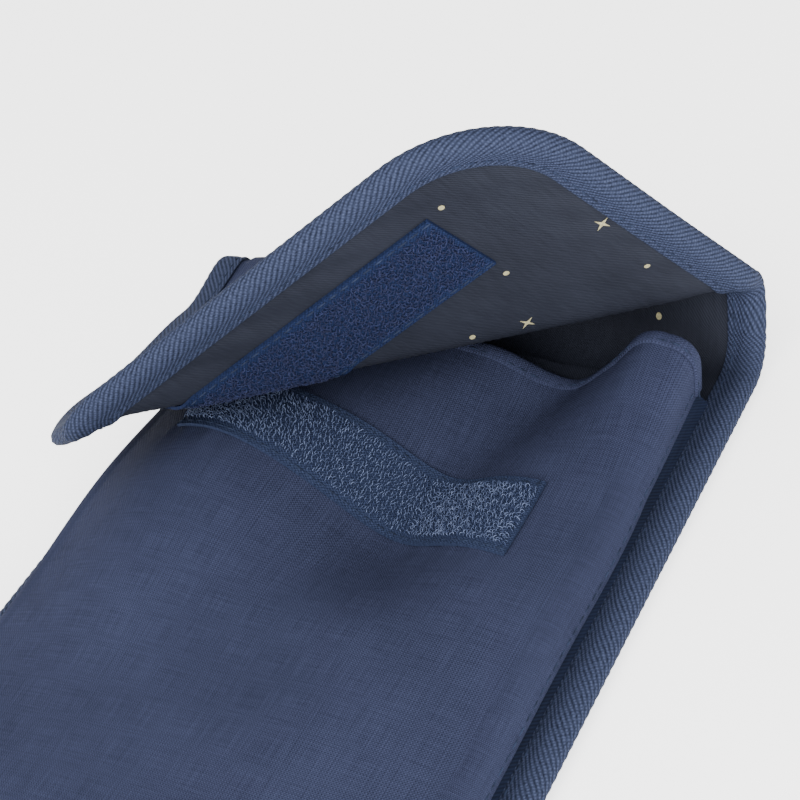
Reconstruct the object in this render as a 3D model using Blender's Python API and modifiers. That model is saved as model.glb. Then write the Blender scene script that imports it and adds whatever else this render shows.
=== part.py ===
# Travel document organizer: a soft bound pouch with a gusseted front pocket and a
# turn-over flap. Metres, +Z up, lying on its flat back, mouth and fold towards +Y.
# The origin is the middle of the flat back face.
#
# Back panel and flap are one continuous sheet. A place on it is (u, v, h): u across,
# v along the sheet from where the fold starts, h from the outer face to the lining face.
# The flap's free corner stands curled back along a slanting crease.

import math

import bmesh
import bpy
import numpy as np
from mathutils import Vector

MM = 0.001
GAP = 0.3 * MM                # clearance that touching pieces keep

# ---- driving dimensions -----------------------------------------------------------
WIDTH = 135 * MM
BACK_LENGTH = 230 * MM        # bottom edge to the start of the fold
FLAP_LENGTH = 112 * MM        # start of the fold to the free edge, along the cloth
FLAP_CORNER = 27 * MM
BOTTOM_CORNER = 27 * MM
BINDING_WIDTH = 8 * MM
ROLL_LEFT = 10.7 * MM         # fold radius at the left and the right edge
ROLL_RIGHT = 11.9 * MM
FLAP_RISE = math.radians(15)  # the closed part of the flap rises towards its free edge
LEFT_DROOP = 7.7 * MM
CREASE_RIGHT = 21.5 * MM      # where the slanting crease meets the right and left edge
CREASE_LEFT = 124.5 * MM
CREASE_RADIUS = 3.2 * MM
PEEL = math.radians(61)

OUTER = (0.0, 0.6 * MM)       # cloth layers, as depths from the outer face
INTERLINING = (1.35 * MM, 1.95 * MM)
LINING = (2.2 * MM, 2.8 * MM)
RIM_LIFT = 1.35 * MM           # the outer cloth steps up where it runs into the binding
RIM_FLAT = 1.5 * MM           # how far past the tape it stays up, and the step's length
RIM_RAMP = 3 * MM
TAPE = (0.0, 0.9 * MM, 3.2 * MM, 4.0 * MM)   # the binding's two legs
TAPE_WEB = 1.0 * MM

ROOT_END = 8 * MM             # the back's layers end here, in the fold
FLAP_START = 13 * MM          # and the flap's begin here
POCKET_HALF = 57 * MM
MOUTH_Y = 106.5 * MM
MOUTH_EDGE = MOUTH_Y - 1.2 * MM   # the front cloth ends inside its hem
POCKET_BOTTOM = -103 * MM
POCKET_CORNER = 17 * MM
CLOTH = 0.8 * MM
POCKET_LINING = 0.5 * MM
POCKET_LINING_DEPTH = -1.05 * MM  # its underside, measured from the front cloth's
GUSSET = 0.8 * MM
HOOK_RIGHT = 43 * MM
HOOK_LENGTH = 80 * MM
STRIP_WIDTH = 20 * MM
HOOK_LOW_Y = 49 * MM          # lower edge of the hook strip at its right end
HOOK_SKEW = 12 * MM
STRIP_THICKNESS = 1.2 * MM
LOOP_INSET = 16 * MM          # free edge of the flap to the loop strip
LOOP_RIGHT = 39 * MM
LOOP_LENGTH = 59 * MM         # the part of the strip that lies past the crease
DIVIDER_Y = 111 * MM
HEM_WIDTH = 6 * MM

HALF = WIDTH / 2
FOLD_Y = BACK_LENGTH / 2
FOLD_ANGLE = math.pi - FLAP_RISE

COLOURS = {                   # linear base colour, roughness
    "oxford": ((0.035, 0.055, 0.115), 0.8),
    "twill": ((0.032, 0.038, 0.055), 0.5),
    "tape": ((0.030, 0.062, 0.120), 0.75),
    "foam": ((0.10, 0.10, 0.11), 0.9),
    "hook": ((0.06, 0.10, 0.17), 0.55),
    "loop": ((0.020, 0.035, 0.110), 0.95),
}


# ---- the shape of the sheet ----------------------------------------------------------
def smooth(t):
    t = np.clip(t, 0.0, 1.0)
    return t * t * (3 - 2 * t)


def side_share(u):
    return (u + HALF) / WIDTH


def roll_radius(u):
    return ROLL_LEFT + (ROLL_RIGHT - ROLL_LEFT) * side_share(u)


CREASE_RUN = np.array([-WIDTH, CREASE_LEFT - CREASE_RIGHT])
CREASE_RUN = CREASE_RUN / np.linalg.norm(CREASE_RUN)
CREASE_OUT = np.array([CREASE_RUN[1], -CREASE_RUN[0]])   # towards the free corner


def crease_v(u):
    return CREASE_RIGHT + (CREASE_LEFT - CREASE_RIGHT) * (HALF - u) / WIDTH


def on_fold(u, v):
    # back, roll and the closed flap: a cylinder between two planes
    radius = roll_radius(u)
    angle = np.clip(v / radius, 0, FOLD_ANGLE)
    past = np.maximum(v - radius * FOLD_ANGLE, 0)
    y = FOLD_Y + np.minimum(v, 0) + radius * np.sin(angle) + past * math.cos(FOLD_ANGLE)
    z = radius * (1 - np.cos(angle)) + past * math.sin(FOLD_ANGLE)
    return np.stack([u, y, z], -1)


def on_flap(u, v):
    # the flap's own plane, with the free corner turned up round the crease
    du, dv = u - HALF, v - CREASE_RIGHT
    along = du * CREASE_RUN[0] + dv * CREASE_RUN[1]
    across = du * CREASE_OUT[0] + dv * CREASE_OUT[1]
    turn = np.clip(across / CREASE_RADIUS, 0, PEEL)
    past = np.maximum(across - CREASE_RADIUS * PEEL, 0)
    flat = np.where(across > 0, CREASE_RADIUS * np.sin(turn) + past * math.cos(PEEL), across)
    lift = np.where(across > 0, CREASE_RADIUS * (1 - np.cos(turn)) + past * math.sin(PEEL), 0)
    x = HALF + along * CREASE_RUN[0] + flat * CREASE_OUT[0]
    w = CREASE_RIGHT + along * CREASE_RUN[1] + flat * CREASE_OUT[1]
    radius = roll_radius(x)
    c, s = math.cos(FOLD_ANGLE), math.sin(FOLD_ANGLE)
    y = FOLD_Y + (radius + lift) * s + (w - radius * FOLD_ANGLE) * c
    z = radius - (radius + lift) * c + (w - radius * FOLD_ANGLE) * s
    return np.stack([x, y, z], -1)


def mid_sheet(u, v):
    share = side_share(u)
    low = 22 * MM - 8 * MM * share
    high = ROLL_LEFT * FOLD_ANGLE * (1 - share) + 26 * MM * share
    weight = smooth((v - low) / (high - low))[..., None]
    place = on_fold(u, v) * (1 - weight) + on_flap(u, v) * weight
    droop = smooth((-u - 35 * MM) / (35 * MM)) * smooth((v - 22 * MM) / (25 * MM))
    place[..., 2] -= LEFT_DROOP * droop
    return place


def on_sheet(u, v, h):
    # a place in the sheet, h deep from its outer face
    u, v, h = np.broadcast_arrays(np.asarray(u, float), np.asarray(v, float), np.asarray(h, float))
    step = 0.5 * MM
    du = mid_sheet(u + step, v) - mid_sheet(u - step, v)
    dv = mid_sheet(u, v + step) - mid_sheet(u, v - step)
    normal = np.cross(du, dv)
    normal /= np.linalg.norm(normal, axis=-1, keepdims=True)
    return mid_sheet(u, v) + normal * h[..., None]


# ---- the front pocket's height -----------------------------------------------------------
def mound(x, y, at, spread):
    return np.exp(-((x - at[0]) / spread[0]) ** 2 - ((y - at[1]) / spread[1]) ** 2)


def valley(x, y):
    # a groove from the dip in the mouth down to the hook strip
    run = np.clip((108 * MM - y) / (58 * MM), 0, 1)
    middle = 31 * MM - 17 * MM * np.sin(run * math.pi / 2)
    fade = 1 - smooth((60 * MM - y) / (30 * MM))
    return np.exp(-((x - middle) / (12 * MM)) ** 2) * fade


def pocket_height(x, y):
    # underside of the front cloth
    side = np.clip(np.abs(x) / POCKET_HALF, 0, 1)
    low_end = np.clip((y - POCKET_BOTTOM) / (30 * MM), 0, 1)
    dome = (1 - side ** 4) * (1 - (1 - low_end) ** 3)
    z = 9 * MM + 4.5 * MM * dome
    z = z + 10 * MM * mound(x, y, (-26 * MM, 54 * MM), (26 * MM, 42 * MM))
    z = z + 3 * MM * mound(x, y, (5 * MM, -40 * MM), (40 * MM, 60 * MM))
    z = z + 8.5 * MM * mound(x, y, (53 * MM, 107 * MM), (9 * MM, 26 * MM))
    return z - 6.5 * MM * valley(x, y)


def on_pocket(x, y, h):
    # a place in the front's cloth, h out from its underside
    x, y, h = np.broadcast_arrays(np.asarray(x, float), np.asarray(y, float), np.asarray(h, float))
    step = 0.5 * MM
    slope_x = (pocket_height(x + step, y) - pocket_height(x - step, y)) / (2 * step)
    slope_y = (pocket_height(x, y + step) - pocket_height(x, y - step)) / (2 * step)
    normal = np.stack([-slope_x, -slope_y, np.ones_like(x)], -1)
    normal /= np.linalg.norm(normal, axis=-1, keepdims=True)
    return np.stack([x, y, pocket_height(x, y)], -1) + normal * h[..., None]


def divider_height(x, y):
    return 3.1 * MM + 0.35 * np.maximum(pocket_height(x, y) - 7 * MM, 0)


# ---- building tools --------------------------------------------------------------------
def collection(name):
    made = bpy.data.collections.new(name)
    bpy.context.scene.collection.children.link(made)
    return made


def material(name):
    colour, roughness = COLOURS[name]
    made = bpy.data.materials.get(name)
    if made is None:
        made = bpy.data.materials.new(name)
        made.use_nodes = True
        shader = made.node_tree.nodes["Principled BSDF"]
        shader.inputs["Base Color"].default_value = (*colour, 1.0)
        shader.inputs["Roughness"].default_value = roughness
        shader.inputs["Metallic"].default_value = 0.0
    return made


def add_object(name, mesh, finish):
    made = bpy.data.objects.new(name, mesh)
    made.data.materials.append(material(finish))
    PARTS.objects.link(made)
    mesh.shade_smooth()
    mesh.set_sharp_from_angle(angle=math.radians(40))
    return made


def add_patch(name, finish, place, cells, thickness):
    # a grid laid on the surface place(s, t), s and t from 0 to 1, thickened downwards in h
    bm = bmesh.new()
    bmesh.ops.create_grid(bm, x_segments=cells[0], y_segments=cells[1], size=0.5)
    st = np.array([v.co[:] for v in bm.verts])[:, :2] + 0.5
    for vert, point in zip(bm.verts, place(st[:, 0], st[:, 1])):
        vert.co = point
    mesh = bpy.data.meshes.new(name)
    bm.to_mesh(mesh)
    bm.free()
    made = add_object(name, mesh, finish)
    wall = made.modifiers.new("thickness", "SOLIDIFY")
    wall.thickness = thickness
    wall.offset = 1.0
    return made


def add_loft(name, finish, rings):
    # rings of the same number of corners, joined in order and capped
    bm = bmesh.new()
    rows = [[bm.verts.new(point) for point in ring] for ring in rings]
    for low, high in zip(rows, rows[1:]):
        for i in range(len(low)):
            j = (i + 1) % len(low)
            bm.faces.new((low[i], low[j], high[j], high[i]))
    bm.faces.new(rows[0])
    bm.faces.new(rows[-1])
    bmesh.ops.recalc_face_normals(bm, faces=bm.faces)
    bmesh.ops.triangulate(bm, faces=[f for f in bm.faces if len(f.verts) > 4])
    mesh = bpy.data.meshes.new(name)
    bm.to_mesh(mesh)
    bm.free()
    return add_object(name, mesh, finish)


# ---- outlines on the sheet ---------------------------------------------------------------
QUARTER = math.pi / 2


def free_edge_v(u, inset):
    # the flap's free edge with its two round corners
    radius = FLAP_CORNER - inset
    over = np.clip(np.abs(u) - (HALF - FLAP_CORNER), 0, radius)
    return FLAP_LENGTH - FLAP_CORNER + np.sqrt(radius ** 2 - over ** 2)


EDGE_COLUMNS = np.array([0, 0.8, 3, 7, 11, 14, 20, 29, 39, 50]) * MM    # from either side edge


def spaced_u(s, left, right):
    # columns closer together towards the sheet's round corners and bound edges
    offsets = EDGE_COLUMNS * min(1.0, 0.45 * (right - left) / EDGE_COLUMNS[-1])
    knots = np.concatenate([left + offsets, right - offsets[::-1]])
    return np.interp(s, np.linspace(0, 1, len(knots)), knots)


COLUMNS = 2 * len(EDGE_COLUMNS) - 1


def even_rows(t, low, high):
    return low + (high - low) * (0.5 - 0.5 * np.cos(t * math.pi))


def fold_rows(t, low, high):
    # closest together in the fold
    return low + (high - low) * t ** 1.5


def back_rows(t, low, high):
    # close together round the bottom corners and in the fold, one long row between
    bottom = low + (-BACK_LENGTH + BOTTOM_CORNER + 4 * MM - low) * np.clip(t / 0.45, 0, 1) ** 1.6
    fold = high + (-2 * MM - high) * np.clip((1 - t) / 0.45, 0, 1)
    return np.where(t < 0.5, bottom, fold)


def bottom_edge_v(u, inset):
    radius = BOTTOM_CORNER - inset
    over = np.clip(np.abs(u) - (HALF - BOTTOM_CORNER), 0, radius)
    return -BACK_LENGTH + BOTTOM_CORNER - np.sqrt(radius ** 2 - over ** 2)


def rim_distance(u, v):
    # how far inside the bound edge a place lies
    side = HALF - np.abs(u)
    past = v - (FLAP_LENGTH - FLAP_CORNER)
    over = np.abs(u) - (HALF - FLAP_CORNER)
    round_part = FLAP_CORNER - np.hypot(np.maximum(over, 0), np.maximum(past, 0))
    bottom = v - (-BACK_LENGTH + BOTTOM_CORNER)
    low_part = BOTTOM_CORNER - np.hypot(np.maximum(over, 0), np.maximum(-bottom, 0))
    return np.minimum(side, np.minimum(round_part, low_part))


def outer_lift(u, v):
    return RIM_LIFT * smooth((BINDING_WIDTH + RIM_FLAT + RIM_RAMP - rim_distance(u, v)) / RIM_RAMP)


def layer_patch(name, finish, layer, inset, low, high, rows, left=-HALF, right=HALF, lift=None,
                row_spacing=even_rows):
    # one layer of the sheet between the curves low(u) and high(u)
    def place(s, t):
        u = spaced_u(s, max(left, -HALF + inset), min(right, HALF - inset))
        v = row_spacing(t, low(u), high(u))
        depth = layer[0] if lift is None else layer[0] + lift(u, v)
        return on_sheet(u, v, depth)
    return add_patch(name, finish, place, (COLUMNS, rows), layer[1] - layer[0])


def bind(name, path):
    # the folded tape: a U section swept along the edge; path holds (u, v, inward u, inward v)
    low, inner_low, inner_high, high = TAPE
    section = ((0, low), (BINDING_WIDTH, low), (BINDING_WIDTH, inner_low), (TAPE_WEB, inner_low),
               (TAPE_WEB, inner_high), (BINDING_WIDTH, inner_high), (BINDING_WIDTH, high), (0, high))
    inset, depth = np.array(section).T
    rings = [on_sheet(u + inset * nu, v + inset * nv, depth) for u, v, nu, nv in path]
    return add_loft(name, "tape", rings)


def straight(u, start, end, count, inward):
    return [(u, v, inward, 0.0) for v in np.linspace(start, end, count)]


def corner(sign, centre_v, up, radius, start, end, count):
    # an arc round an edge corner, angles from the side towards the end edge
    centre_u = sign * (HALF - radius)
    path = []
    for angle in np.linspace(start, end, count):
        c, s = math.cos(angle), math.sin(angle)
        path.append((centre_u + sign * radius * c, centre_v + up * radius * s, -sign * c, -up * s))
    return path


# ---- the object -----------------------------------------------------------------------------
for old in list(bpy.data.objects):
    bpy.data.objects.remove(old, do_unlink=True)

PARTS = collection("travel_document_organizer")

CREASE_GAP = CREASE_RADIUS * PEEL / CREASE_OUT[1]    # the bend's width along v


def level(value):
    return lambda u: value + 0 * u


def base_top(inset):
    return lambda u: np.minimum(crease_v(u) - GAP, free_edge_v(u, inset))


def tip_low(u):
    return crease_v(u) + CREASE_GAP


def tip_left(inset):
    # where the crease's far side runs into the free edge's left corner
    u = np.linspace(-HALF + inset, 0, 400)
    return float(u[np.argmax(tip_low(u) < free_edge_v(u, inset) - 0.5 * MM)])


LAYERS = (                    # name, finish, depths, inset from the edge, lift at the rim
    ("outer_cloth", "oxford", OUTER, TAPE_WEB + GAP, outer_lift),
    ("interlining", "foam", INTERLINING, BINDING_WIDTH + RIM_FLAT + RIM_RAMP + 5 * MM, None),
    ("lining", "twill", LINING, TAPE_WEB + GAP, None),
)

for layer_name, finish, depths, inset, lift in LAYERS:
    # the back panel, up into the fold
    layer_patch(f"back_{layer_name}", finish, depths, inset, lambda u: bottom_edge_v(u, inset),
                level(ROOT_END), 14, lift=lift, row_spacing=back_rows)
    # the closed part of the flap, from the fold to the crease
    layer_patch(f"flap_base_{layer_name}", finish, depths, inset, level(FLAP_START),
                base_top(inset), 20, lift=lift, row_spacing=fold_rows)
    # the turned-up part, from the crease to the free edge
    layer_patch(f"flap_tip_{layer_name}", finish, depths, inset, tip_low,
                lambda u: free_edge_v(u, inset), 14, left=tip_left(inset), lift=lift)

# binding tape, cut where the sheet bends
bottom_v = -BACK_LENGTH + BOTTOM_CORNER
for side, sign in (("left", -1), ("right", 1)):
    bind(f"body_binding_{side}", straight(sign * HALF, ROOT_END, 0, 6, -sign)
         + straight(sign * HALF, -10 * MM, bottom_v + GAP, 12, -sign))
bind("body_binding_bottom", corner(-1, bottom_v, -1, BOTTOM_CORNER, 0, QUARTER, 16)
     + corner(1, bottom_v, -1, BOTTOM_CORNER, QUARTER, 0, 16))
top_v = FLAP_LENGTH - FLAP_CORNER
bind("flap_base_binding_left", straight(-HALF, FLAP_START, top_v, 26, 1)
     + corner(-1, top_v, 1, FLAP_CORNER, 0.12, 1.2, 11))
bind("flap_base_binding_right", straight(HALF, FLAP_START, CREASE_RIGHT - 1.2 * MM, 5, -1))
bind("flap_tip_binding_side", straight(HALF, CREASE_RIGHT + 11 * MM, top_v, 12, -1)
     + corner(1, top_v, 1, FLAP_CORNER, 0.13, QUARTER - 0.02, 10))
bind("flap_tip_binding_edge", [(u, FLAP_LENGTH, 0.0, -1.0)
                               for u in np.linspace(HALF - FLAP_CORNER, -HALF + FLAP_CORNER + 7 * MM, 24)])

# loop strip on the flap's lining, trimmed along the crease
def loop_place(s, t):
    u = LOOP_RIGHT - LOOP_LENGTH * (1 - s)
    v = FLAP_LENGTH - LOOP_INSET - STRIP_WIDTH * (1 - t)
    return on_sheet(u, np.maximum(v, tip_low(u) + GAP), LINING[1] + GAP)


add_patch("loop_strip", "loop", loop_place, (16, 6), STRIP_THICKNESS)


# front pocket: puffed front, its lining and divider, gussets, hem
POCKET_EDGE_COLUMNS = np.array([0, 0.6, 2, 4.5, 8]) * MM
POCKET_COLUMNS = np.arange(-40, 41, 5) * MM     # shared by every layer, so that they nest


def pocket_patch(name, finish, place, thickness, inset, high_y, columns=POCKET_COLUMNS, rows=24):
    half, radius = POCKET_HALF - inset, POCKET_CORNER - inset
    knots = np.concatenate([-half + POCKET_EDGE_COLUMNS, columns, half - POCKET_EDGE_COLUMNS[::-1]])

    def spread(s, t):
        x = np.interp(s, np.linspace(0, 1, len(knots)), knots)
        over = np.clip(np.abs(x) - (half - radius), 0, radius)
        low = POCKET_BOTTOM + inset + radius - np.sqrt(radius ** 2 - over ** 2)
        return place(x, low + (high_y - low) * t)
    return add_patch(name, finish, spread, (len(knots) - 1, rows), thickness)


pocket_patch("front_pocket_cloth", "oxford", lambda x, y: on_pocket(x, y, 0.0), CLOTH, 0.0, MOUTH_EDGE)
pocket_patch("front_pocket_lining", "twill", lambda x, y: on_pocket(x, y, POCKET_LINING_DEPTH),
             POCKET_LINING, 2.6 * MM, MOUTH_EDGE)
pocket_patch("inner_divider", "twill", lambda x, y: np.stack([x, y, divider_height(x, y)], -1),
             POCKET_LINING, 4 * MM, DIVIDER_Y, columns=POCKET_COLUMNS[::2], rows=12)


def gusset(name, path):
    # an upright strip of cloth from the back panel up to the front cloth's edge;
    # path holds (x, y, inward x, inward y)
    rings = []
    for x, y, nx, ny in path:
        low = TAPE[3] + GAP
        high = float(pocket_height(np.float64(x), np.float64(y))) - 2 * GAP
        rings.append([(x, y, low), (x + nx * GUSSET, y + ny * GUSSET, low),
                      (x + nx * GUSSET, y + ny * GUSSET, high), (x, y, high)])
    return add_loft(name, "oxford", rings)


inner = POCKET_HALF - 1.2 * MM
bend = POCKET_CORNER - 1.2 * MM
bend_y = POCKET_BOTTOM + POCKET_CORNER


def pocket_corner(sign, start, end):
    path = []
    for angle in np.linspace(start, end, 10):
        c, s = math.cos(angle), math.sin(angle)
        path.append((sign * (inner - bend + bend * c), bend_y - bend * s, -sign * c, s))
    return path


for side, sign in (("left", -1), ("right", 1)):
    gusset(f"{side}_gusset", [(sign * inner, y, -sign, 0) for y in np.linspace(bend_y + GAP, MOUTH_EDGE, 20)])
gusset("bottom_gusset", pocket_corner(-1, 0, QUARTER) + pocket_corner(1, QUARTER, 0))


# the mouth's hem: a folded strip over the edge of the front cloth and its lining
def hem_ring(x):
    top, low = CLOTH + 1.3 * GAP, POCKET_LINING_DEPTH - 2.4 * GAP
    leg, back = 0.5 * MM, MOUTH_EDGE - HEM_WIDTH
    corners = ((back, top), (MOUTH_Y, top), (MOUTH_Y, low), (back, low),
               (back, low - leg), (MOUTH_Y + leg, low - leg), (MOUTH_Y + leg, top + leg), (back, top + leg))
    return [on_pocket(x, min(y, MOUTH_EDGE), depth) + np.array([0, max(y - MOUTH_EDGE, 0), 0])
            for y, depth in corners]


hem_end = inner - 2.5 * MM
hem_stations = np.concatenate([[-hem_end, -49 * MM, -46 * MM], POCKET_COLUMNS, [46 * MM, 49 * MM, 51 * MM, hem_end]])
add_loft("mouth_hem", "oxford", [hem_ring(x) for x in hem_stations])


def hook_place(s, t):
    x = HOOK_RIGHT - HOOK_LENGTH * (1 - s)
    y = HOOK_LOW_Y + HOOK_SKEW * (1 - s) + STRIP_WIDTH * t
    return on_pocket(x, y, CLOTH + 2.3 * GAP)


add_patch("hook_strip", "hook", hook_place, (26, 8), STRIP_THICKNESS)


# ---- joint axes: an empty on each, with the pieces that turn about it as its children --------
def pivot(name, place, along):
    made = bpy.data.objects.new(name, None)
    made.empty_display_size = 20 * MM
    made.location = place
    made.rotation_euler = Vector(along).to_track_quat("X", "Z").to_euler()
    PARTS.objects.link(made)
    return made


FOLD_PIVOT_Y = FOLD_Y + 1.16 * (ROLL_LEFT + ROLL_RIGHT) / 2
FOLD_PIVOT_Z = (ROLL_LEFT + ROLL_RIGHT) / 2
fold_pivot = pivot("flap_fold_axis", (0, FOLD_PIVOT_Y, FOLD_PIVOT_Z), (-1, 0, 0))

crease_u = np.array([-40 * MM, 40 * MM])
crease_ends = on_flap(crease_u, crease_v(crease_u) + CREASE_GAP / 2)
peel_pivot = pivot("flap_peel_axis", crease_ends.mean(0), crease_ends[1] - crease_ends[0])
peel_pivot.parent = fold_pivot
bpy.context.view_layer.update()
peel_pivot.matrix_parent_inverse = fold_pivot.matrix_world.inverted()

bpy.context.view_layer.update()
for piece in PARTS.objects:
    holder = {"flap_base": fold_pivot, "flap_tip_": peel_pivot, "loop_stri": peel_pivot}.get(piece.name[:9])
    if holder and piece.type == "MESH":
        piece.parent = holder
        piece.matrix_parent_inverse = holder.matrix_world.inverted()
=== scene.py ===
import math

import bpy
import numpy as np
from mathutils import Matrix, Vector


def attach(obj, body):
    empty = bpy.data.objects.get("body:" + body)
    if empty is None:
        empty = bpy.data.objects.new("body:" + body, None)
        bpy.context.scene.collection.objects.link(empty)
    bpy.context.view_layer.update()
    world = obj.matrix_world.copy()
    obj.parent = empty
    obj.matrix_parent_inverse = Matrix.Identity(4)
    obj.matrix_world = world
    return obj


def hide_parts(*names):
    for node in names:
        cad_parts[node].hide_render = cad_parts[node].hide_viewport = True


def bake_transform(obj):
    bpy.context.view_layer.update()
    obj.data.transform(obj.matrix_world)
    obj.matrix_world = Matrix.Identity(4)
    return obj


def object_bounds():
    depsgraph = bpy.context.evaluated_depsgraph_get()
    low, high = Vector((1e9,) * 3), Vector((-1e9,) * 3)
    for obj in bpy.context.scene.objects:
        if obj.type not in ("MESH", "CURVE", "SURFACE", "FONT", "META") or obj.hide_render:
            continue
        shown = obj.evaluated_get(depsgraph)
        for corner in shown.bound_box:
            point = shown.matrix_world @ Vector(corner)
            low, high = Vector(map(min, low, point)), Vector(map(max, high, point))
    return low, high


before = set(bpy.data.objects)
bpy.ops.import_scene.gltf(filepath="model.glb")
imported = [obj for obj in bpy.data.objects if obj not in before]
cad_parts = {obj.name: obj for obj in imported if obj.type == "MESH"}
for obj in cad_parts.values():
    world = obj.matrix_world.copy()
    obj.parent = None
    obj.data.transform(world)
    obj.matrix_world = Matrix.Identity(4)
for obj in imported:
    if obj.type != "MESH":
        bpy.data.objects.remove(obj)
cadLow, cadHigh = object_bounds()
print("frame loaded:", len(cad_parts), "nodes")

mm = 0.001


# small helpers: colours, nodes, meshes

def linear(hexColour, alpha=1.0):
    parts = [int(hexColour[i:i + 2], 16) / 255 for i in (1, 3, 5)]
    return (*[p / 12.92 if p <= 0.04045 else ((p + 0.055) / 1.055) ** 2.4 for p in parts], alpha)


def addNode(tree, kind, links=None, **settings):
    node = tree.nodes.new(kind)
    for key, value in settings.items():
        setattr(node, key, value)
    for key, value in (links or {}).items():
        if isinstance(value, bpy.types.NodeSocket):
            tree.links.new(value, node.inputs[key])
        else:
            node.inputs[key].default_value = value
    return node


def maths(tree, operation, *values):
    return addNode(tree, "ShaderNodeMath", dict(enumerate(values)), operation=operation).outputs[0]


def smooth(t):
    t = np.clip(t, 0.0, 1.0)
    return t * t * (3 - 2 * t)


def addObject(name, data):
    thing = bpy.data.objects.new(name, data)
    bpy.context.scene.collection.objects.link(thing)
    return thing


def addMesh(name, points, faces, uv, finish, sharp=40):
    # points and faces as a piece; uv is the place on the flat cloth, in metres
    mesh = bpy.data.meshes.new(name)
    mesh.from_pydata(points.tolist(), [], faces.tolist())
    corner = np.zeros(len(mesh.loops), int)
    mesh.loops.foreach_get("vertex_index", corner)
    mesh.uv_layers.new(name="cloth").data.foreach_set("uv", uv[corner].astype(np.float32).ravel())
    mesh.materials.append(finish)
    mesh.shade_smooth()
    mesh.set_sharp_from_angle(angle=math.radians(sharp))
    return addObject(name, mesh)


def gridQuads(rows, columns):
    index = np.arange(rows * columns).reshape(rows, columns)
    corners = [index[:-1, :-1], index[:-1, 1:], index[1:, 1:], index[1:, :-1]]
    return index, np.stack(corners, -1).reshape(-1, 4)


def shellPart(low, high, uv):
    # points and faces of a closed sheet; high is the face that du x dv points to
    index, quads = gridQuads(*low.shape[:2])
    count = index.size
    points = np.concatenate([low.reshape(-1, 3), high.reshape(-1, 3)])
    ring = np.concatenate([index[0, :-1], index[:-1, -1], index[-1, :0:-1], index[:0:-1, 0]])
    after = np.roll(ring, -1)
    walls = np.stack([ring, after, after + count, ring + count], -1)
    faces = np.concatenate([quads + count, quads[:, ::-1], walls])
    flat = uv.reshape(-1, 2)
    return points, faces, np.concatenate([flat, flat])


def tubePart(rings, uv, flip=False):
    # points and faces of a swept closed section with capped ends
    stations, corners = rings.shape[:2]
    index = np.arange(stations * corners).reshape(stations, corners)
    after = np.roll(index, -1, axis=1)
    quads = np.stack([index[:-1], after[:-1], after[1:], index[1:]], -1).reshape(-1, 4)
    half = corners // 2
    near, far = index[0], index[-1]
    capA = np.array([[near[i], near[corners - 1 - i], near[corners - 2 - i], near[i + 1]]
                     for i in range(half - 1)])
    capB = np.array([[far[i], far[i + 1], far[corners - 2 - i], far[corners - 1 - i]]
                     for i in range(half - 1)])
    faces = np.concatenate([quads, capA, capB])
    if flip:
        faces = faces[:, ::-1]
    return rings.reshape(-1, 3), faces, uv.reshape(-1, 2)


def joinParts(parts):
    points, faces, uvs, start = [], [], [], 0
    for p, f, t in parts:
        points.append(p)
        faces.append(f + start)
        uvs.append(t)
        start += len(p)
    return np.concatenate(points), np.concatenate(faces), np.concatenate(uvs)


# camera, floor and light
view = {
    "aim": (19.3 * mm, 64.7 * mm, 35.6 * mm),
    "distance": 360 * mm,
    "azimuth": 40.6,      # to the right of straight on
    "elevation": 37.4,
    "roll": 20.5,
    "lens": 85,
}


def addCamera():
    turn, rise, roll = (math.radians(view[k]) for k in ("azimuth", "elevation", "roll"))
    back = Vector((math.sin(turn) * math.cos(rise), -math.cos(turn) * math.cos(rise), math.sin(rise)))
    level = Vector((math.cos(turn), math.sin(turn), 0))
    upright = back.cross(level)
    right = level * math.cos(roll) - upright * math.sin(roll)
    up = upright * math.cos(roll) + level * math.sin(roll)
    data = bpy.data.cameras.new("camera")
    data.lens = view["lens"]
    data.clip_start = 0.01
    camera = addObject("camera", data)
    place = Vector(view["aim"]) + back * view["distance"]
    camera.matrix_world = Matrix.Translation(place) @ Matrix((right, up, back)).transposed().to_4x4()
    bpy.context.scene.camera = camera


studio = {
    "key": ((-0.20, -0.60, 0.80), 0.7, 8.0),     # place, size, watts
    "fill": ((0.42, -0.50, 0.38), 0.8, 9.0),
    "world": 1.45,
    "paperGlow": 1.8,             # the paper is lit through from below as well
    "floorSize": 14.0,
}


def addStudio():
    for name in ("key", "fill"):
        place, size, watts = studio[name]
        data = bpy.data.lights.new(name, "AREA")
        data.shape = "DISK"
        data.size = size
        data.energy = watts
        lamp = addObject(name, data)
        lamp.location = place
        lamp.rotation_euler = (Vector(view["aim"]) - Vector(place)).to_track_quat("-Z", "Y").to_euler()
    world = bpy.data.worlds.new("softbox_white")
    bpy.context.scene.world = world
    world.use_nodes = True
    world.node_tree.nodes["Background"].inputs["Color"].default_value = (1, 1, 1, 1)
    world.node_tree.nodes["Background"].inputs["Strength"].default_value = studio["world"]
    # paper backdrop: matt, near white
    paper = bpy.data.materials.new("white_paper_backdrop")
    paper.use_nodes = True
    shader = paper.node_tree.nodes["Principled BSDF"]
    shader.inputs["Base Color"].default_value = linear("#FAFAFA")
    shader.inputs["Roughness"].default_value = 0.9
    shader.inputs["Emission Color"].default_value = (1, 1, 1, 1)
    shader.inputs["Emission Strength"].default_value = studio["paperGlow"]
    mesh = bpy.data.meshes.new("backdrop")
    s = studio["floorSize"] / 2
    mesh.from_pydata([(-s, -s, 0), (s, -s, 0), (s, s, 0), (-s, s, 0)], [], [(0, 1, 2, 3)])
    mesh.materials.append(paper)
    floor = addObject("backdrop", mesh)
    floor.location.z = cadLow.z - 0.3 * mm


addCamera()
addStudio()
print("camera and light set")


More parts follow.
